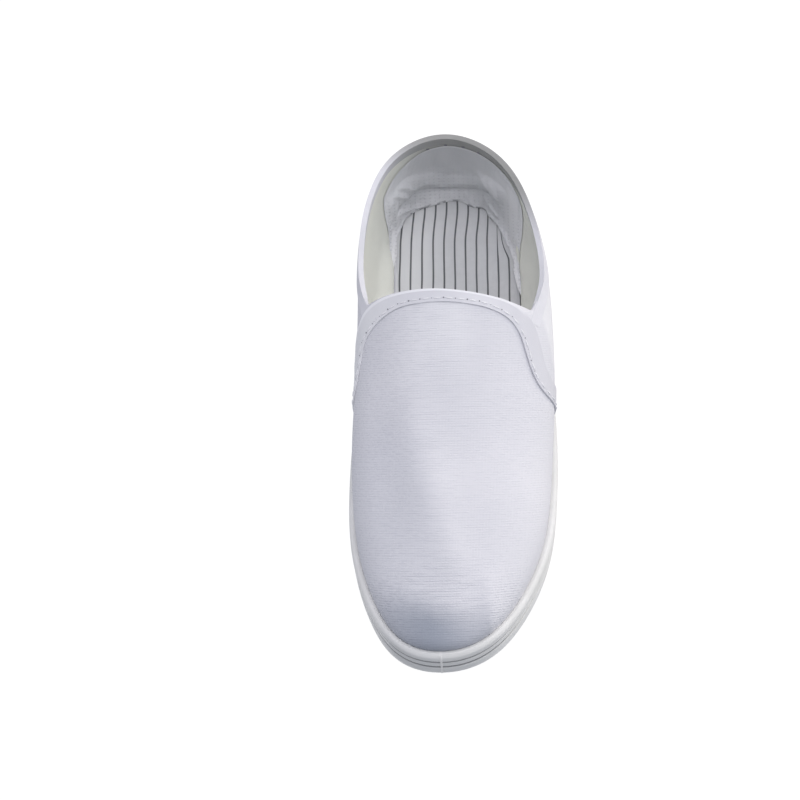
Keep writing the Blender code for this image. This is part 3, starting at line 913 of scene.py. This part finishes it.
# Painted highlight along the back fold
fold_highlight_mask = place.painted("fold_highlight").step(*FOLD_HIGHLIGHT_EDGE) * place.part("Y").step(*FOLD_HIGHLIGHT_ALONG)
close_finish(place, fine, STRIP_DEPTH, {
    "Base Color": fold_highlight_mask.blend(flat_cloth, FOLD_HIGHLIGHT_WHITE),
    "Roughness": 0.62 + fine * 0.15,
    "Sheen Weight": 0.1,
})

strip = solid_copy("vamp_band")
fold_highlight = strip.verts.layers.float.new("fold_highlight")
strip.normal_update()
# Mark the faces of the back fold that get the painted highlight
for face in strip.faces:
    middle = face.calc_center_median()
    stands = (middle - upper_wall.find_nearest(middle)[0]).normalized()
    if face.normal.y > HIGHLIGHT_FACING and abs(face.normal.dot(stands)) < RIM_LEAN:
        for vert in face.verts:
            vert[fold_highlight] = 1.0
for vert in strip.verts:
    nearest = upper_wall.find_nearest(vert.co)[0]
    away = vert.co - nearest
    stand = BAND_RISE if away.length > BAND_MIDDLE else BAND_UNDER
    vert.co = nearest + away.normalized() * stand
band_surface = strip.copy()
band = add_piece("vamp_strip", strip, strip_cloth)
ease_edges(band, BAND_EDGE)
round_off(band, 2)
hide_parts("vamp_band")

# Stitches of the vamp band
# A row of white cotton lockstitches just inside the band's front edge. They go through band and canvas,
# and a needle hole shows at the end of each.
STITCH_PITCH = 5.1 * MM
STITCH_LENGTH = 3.3 * MM
STITCH_WIDTH = 0.6 * MM
STITCH_INSET = 1.6 * MM
STITCH_RISE = 0.1 * MM
HOLE_RADIUS = (0.36 * MM, 0.24 * MM, 0.32 * MM, 0.18 * MM, 0.28 * MM)
HOLE_RISE = 0.06 * MM
HOLE_SEGMENTS = 10
RAIL_TURN = 0.8
RAIL_FACING = -0.05
TWIST_PITCH = 0.4 * MM
TWIST_DEPTH = 0.06 * MM
THREAD_WHITE = ((0.86, 0.86, 0.87), (0.93, 0.93, 0.94))
SPECK = 0.3 * MM
SPECK_DEPTH = 0.05 * MM
HOLE_SHADE = ((0.16, 0.16, 0.18), (0.24, 0.24, 0.26))

thread, place = new_finish("white_thread")
twist = (place.part("X") + place.part("Y")).ribs(TWIST_PITCH)
close_finish(place, twist, TWIST_DEPTH, {
    "Base Color": twist.blend(*THREAD_WHITE),
    "Roughness": 0.6 + twist * 0.1,
})
hole_shade, place = new_finish("needle_hole")
speck = place.noise(SPECK)
close_finish(place, speck, SPECK_DEPTH, {
    "Base Color": speck.blend(*HOLE_SHADE),
    "Roughness": 0.9,
})


def front_rail(shape):
    """The band's upper front edge, as points in a row from one end to the other."""
    ends = {}
    for edge in shape.edges:
        middle = (edge.verts[0].co + edge.verts[1].co) / 2
        stands = (upper_wall.find_nearest(middle)[0] - middle).length
        rim = min(edge.link_faces, key=lambda face: face.calc_area())
        if edge.calc_face_angle() > RAIL_TURN and stands > BAND_RISE / 2 and rim.normal.y < RAIL_FACING:
            for vert in edge.verts:
                ends.setdefault(vert, []).append(edge)
    vert = max((vert for vert in ends if len(ends[vert]) == 1), key=lambda vert: vert.co.x)
    row = [vert]
    used = set()
    while True:
        onward = [edge for edge in ends[vert] if edge not in used]
        if not onward:
            return [vert.co.copy() for vert in row]
        used.add(onward[0])
        vert = onward[0].other_vert(vert)
        row.append(vert)


def evenly(points, pitch):
    """Places along a line of points at an even pitch, each with its direction."""
    places = []
    left = pitch / 2
    for start, end in zip(points, points[1:]):
        length = (end - start).length
        while left <= length:
            places.append((start.lerp(end, left / length), (end - start).normalized()))
            left += pitch
        left -= length
    return places


def add_stitch(shape, seat, length, width):
    """Add a stitch to a shape, lying along the first axis of its seat."""
    scale = Matrix.Diagonal((length / 2, width / 2, width / 2, 1))
    bmesh.ops.create_icosphere(shape, subdivisions=2, radius=1.0, matrix=seat @ scale)


rail = front_rail(band_surface)
band_surface.free()
band_tree = BVHTree.FromObject(band, bpy.context.evaluated_depsgraph_get())
stitches = bmesh.new()
holes = bmesh.new()
for number, (point, along) in enumerate(evenly(rail, STITCH_PITCH)):
    outward = band_tree.find_nearest(point + (point - upper_wall.find_nearest(point)[0]))[1]
    back = along.cross(outward).normalized()
    if back.y < 0:
        back = -back
    foot, outward = band_tree.find_nearest(point + back * STITCH_INSET + outward * MM)[:2]
    across = outward.cross(along).normalized()
    seat = Matrix((along, across, outward)).transposed().to_4x4()
    seat.translation = foot + outward * STITCH_RISE
    add_stitch(stitches, seat, STITCH_LENGTH, STITCH_WIDTH)
    seat.translation = foot + along * STITCH_PITCH / 2 + outward * HOLE_RISE
    radius = HOLE_RADIUS[number % len(HOLE_RADIUS)]
    bmesh.ops.create_circle(holes, cap_ends=True, segments=HOLE_SEGMENTS, radius=radius, matrix=seat)
bmesh.ops.recalc_face_normals(stitches, faces=stitches.faces)
add_piece("band_stitches", stitches, thread)
add_piece("band_needle_holes", holes, hole_shade)

# Stitches of the heel lining
# Short dark stitches, far apart, just above the heel lining's top edge. They hold it to the lining of the
# quarters.
HEEL_STITCHES = range(-15, 40, 14)
HEEL_STITCH_LENGTH = 1.7 * MM
HEEL_STITCH_WIDTH = 0.6 * MM
HEEL_STITCH_ABOVE = 0.7 * MM
HEEL_STITCH_STAND = 0.75 * MM

heel_stitches = bmesh.new()
for at in HEEL_STITCHES:
    wall, inward = inner_wall(at, table_value(POCKET_TOP, at) * MM + HEEL_STITCH_ABOVE)
    seat = Matrix((UP.cross(inward), UP, inward)).transposed().to_4x4()
    seat.translation = wall + inward * HEEL_STITCH_STAND
    add_stitch(heel_stitches, seat, HEEL_STITCH_LENGTH, HEEL_STITCH_WIDTH)
bmesh.ops.recalc_face_normals(heel_stitches, faces=heel_stitches.faces)
add_piece("heel_stitches", heel_stitches, hole_shade)

# Collar binding
# A white woven tape, folded over the top edge of the quarters and sewn through. It is drawn in tight on the
# canvas, and its ends run in under the vamp band.
TAPE_MIDDLE = 0.95 * MM
TAPE_OUTSIDE = 0.65 * MM
TAPE_INSIDE = 0.45 * MM
TAPE_UNDER = 0.05 * MM
TAPE_EDGE = 0.2 * MM
# Its last millimetres are stretched towards the toe by the tuck and lie almost flat on the canvas
TAPE_END = (2 * MM, 6 * MM)
TAPE_TUCK = 7 * MM
TAPE_FLAT = 0.15
TAPE_FUZZ = 0.5 * MM
TAPE_RIB = 0.8 * MM
TAPE_RIB_SHARE = 0.4
TAPE_DEPTH = 0.07 * MM
TAPE_PATCH = 15 * MM
TAPE_WHITE = ((0.70, 0.70, 0.73), (0.75, 0.75, 0.78))
TAPE_SHADE_SKEW = 0.9
SHADED_TAPE = (0.33, 0.33, 0.315)

tape_cloth, place = new_finish("collar_tape")
x, y, z = place.axes()
fine = place.noise(TAPE_FUZZ, 3.0)
unshaded = place.noise(TAPE_PATCH).clear().blend(*TAPE_WHITE)
# Painted shade on the tape at the back, reaching further round the outer side
back_shade = (y + x.maths("MAXIMUM", x, 0.0) * TAPE_SHADE_SKEW).step(*BACK_SHADE_ALONG)
close_finish(place, fine + z.ribs(TAPE_RIB) * TAPE_RIB_SHARE, TAPE_DEPTH, {
    "Base Color": back_shade.blend(unshaded, SHADED_TAPE),
    "Roughness": 0.7 + fine * 0.15,
    "Sheen Weight": 0.1,
})

tape = solid_copy("collar_binding")
ends = {}
for vert in tape.verts:
    on_inner_side = vert.co.x < 0
    ends[on_inner_side] = min(vert.co.y, ends.get(on_inner_side, vert.co.y))
for vert in tape.verts:
    whole = ramp(vert.co.y - ends[vert.co.x < 0], *TAPE_END)
    vert.co.y -= TAPE_TUCK * (1 - whole)
    nearest = upper_wall.find_nearest(vert.co)[0]
    away = vert.co - nearest
    outward = Vector((vert.co.x - HEEL_MIDDLE.x, max(0.0, vert.co.y - HEEL_MIDDLE.y), 0))
    stand = TAPE_OUTSIDE if away.dot(outward) > 0 else TAPE_INSIDE
    if away.length < TAPE_MIDDLE:
        stand = TAPE_UNDER
    stand *= TAPE_FLAT + (1 - TAPE_FLAT) * whole
    vert.co = nearest + away.normalized() * stand
binding = add_piece("collar_tape", tape, tape_cloth)
ease_edges(binding, TAPE_EDGE)
round_off(binding, 2)
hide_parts("collar_binding")

# Stage
# A plain white sweep in a pale room, under three wide soft lights: overhead, at the outer side, and low
# behind on that side.
SWEEP_RADIUS = 4.0
SWEEP_HEIGHT = 5.0
SWEEP_SEGMENTS = 64
PAPER_PATCH = 0.2
PAPER_DEPTH = 0.1 * MM
PAPER_GREY = ((0.09, 0.09, 0.09), (0.11, 0.11, 0.11))
ROOM_GLOW = (0.422, 0.438, 0.497, 1)
LIGHT_SPREAD = math.radians(50)
# Name, direction towards the light, strength and colour
SOFT_LIGHTS = (
    ("overhead_light", (0.0, 0.0, 1.0), 1.15, (1.0, 0.96, 1.0)),
    ("side_light", (0.82, 0.0, 0.57), 0.58, (0.98, 1.0, 0.97)),
    ("back_light", (0.69, 0.69, 0.21), 1.28, (1.0, 0.92, 0.83)),
)

sweep, place = new_finish("white_sweep")
paper = place.noise(PAPER_PATCH)
close_finish(place, paper, PAPER_DEPTH, {
    "Base Color": paper.blend(*PAPER_GREY),
    "Roughness": 0.95,
    "Specular IOR Level": 0.0,
    "Emission Color": (1, 1, 1, 1),
    "Emission Strength": 0.96,
})
sheet = bmesh.new()
bmesh.ops.create_circle(sheet, cap_ends=True, segments=SWEEP_SEGMENTS, radius=SWEEP_RADIUS)
edges = [edge for edge in sheet.edges if edge.is_boundary]
raised = bmesh.ops.extrude_edge_only(sheet, edges=edges)
bmesh.ops.translate(sheet, verts=made_verts(raised), vec=UP * SWEEP_HEIGHT)
floor_mesh = bpy.data.meshes.new("floor")
sheet.to_mesh(floor_mesh)
sheet.free()
floor_mesh.materials.append(sweep)
floor = bpy.data.objects.new("floor", floor_mesh)
floor.visible_diffuse = False
floor.visible_shadow = False
bpy.context.scene.collection.objects.link(floor)

for name, direction, strength, colour in SOFT_LIGHTS:
    light = bpy.data.lights.new(name, "SUN")
    light.energy = strength
    light.color = colour
    light.angle = LIGHT_SPREAD
    light_object = bpy.data.objects.new(name, light)
    light_object.rotation_euler = Vector(direction).to_track_quat("Z", "Y").to_euler()
    bpy.context.scene.collection.objects.link(light_object)

room = bpy.data.worlds.new("room")
room.use_nodes = True
room.node_tree.nodes.clear()
glow = Field(room.node_tree).node("Background", {}, {"Color": ROOM_GLOW})
glow.node("OutputWorld", {}, {"Surface": glow})
bpy.context.scene.world = room

# Camera
# It looks down on the toe from in front, a little to the outer side, with a long lens. The picture is
# square, and the shoe stands to the right of its middle.
CAMERA_HEIGHT = math.radians(59.58)
CAMERA_TURN = math.radians(2.16)
CAMERA_ROLL = math.radians(-0.27)
CAMERA_AIM = Vector((-0.03, -0.2, 27.5)) * MM
CAMERA_DISTANCE = 0.92
CAMERA_LENS = 93.6
CAMERA_SENSOR = 36
CAMERA_SHIFT = (-0.0668, -0.0028)

back = Vector((
    math.sin(CAMERA_HEIGHT) * math.sin(CAMERA_TURN),
    -math.cos(CAMERA_HEIGHT),
    math.sin(CAMERA_HEIGHT) * math.cos(CAMERA_TURN),
))
upward = (ALONG - back * back.y).normalized()
right = upward.cross(back)
camera = bpy.data.cameras.new("camera")
camera.lens = CAMERA_LENS
camera.sensor_width = CAMERA_SENSOR
camera.shift_x, camera.shift_y = CAMERA_SHIFT
camera_object = bpy.data.objects.new("camera", camera)
axes = Matrix((right, upward, back)).transposed() @ Matrix.Rotation(CAMERA_ROLL, 3, "Z")
camera_object.matrix_world = Matrix.Translation(CAMERA_AIM + back * CAMERA_DISTANCE) @ axes.to_4x4()
bpy.context.scene.collection.objects.link(camera_object)
bpy.context.scene.camera = camera_object
bpy.context.scene.view_settings.view_transform = "Standard"
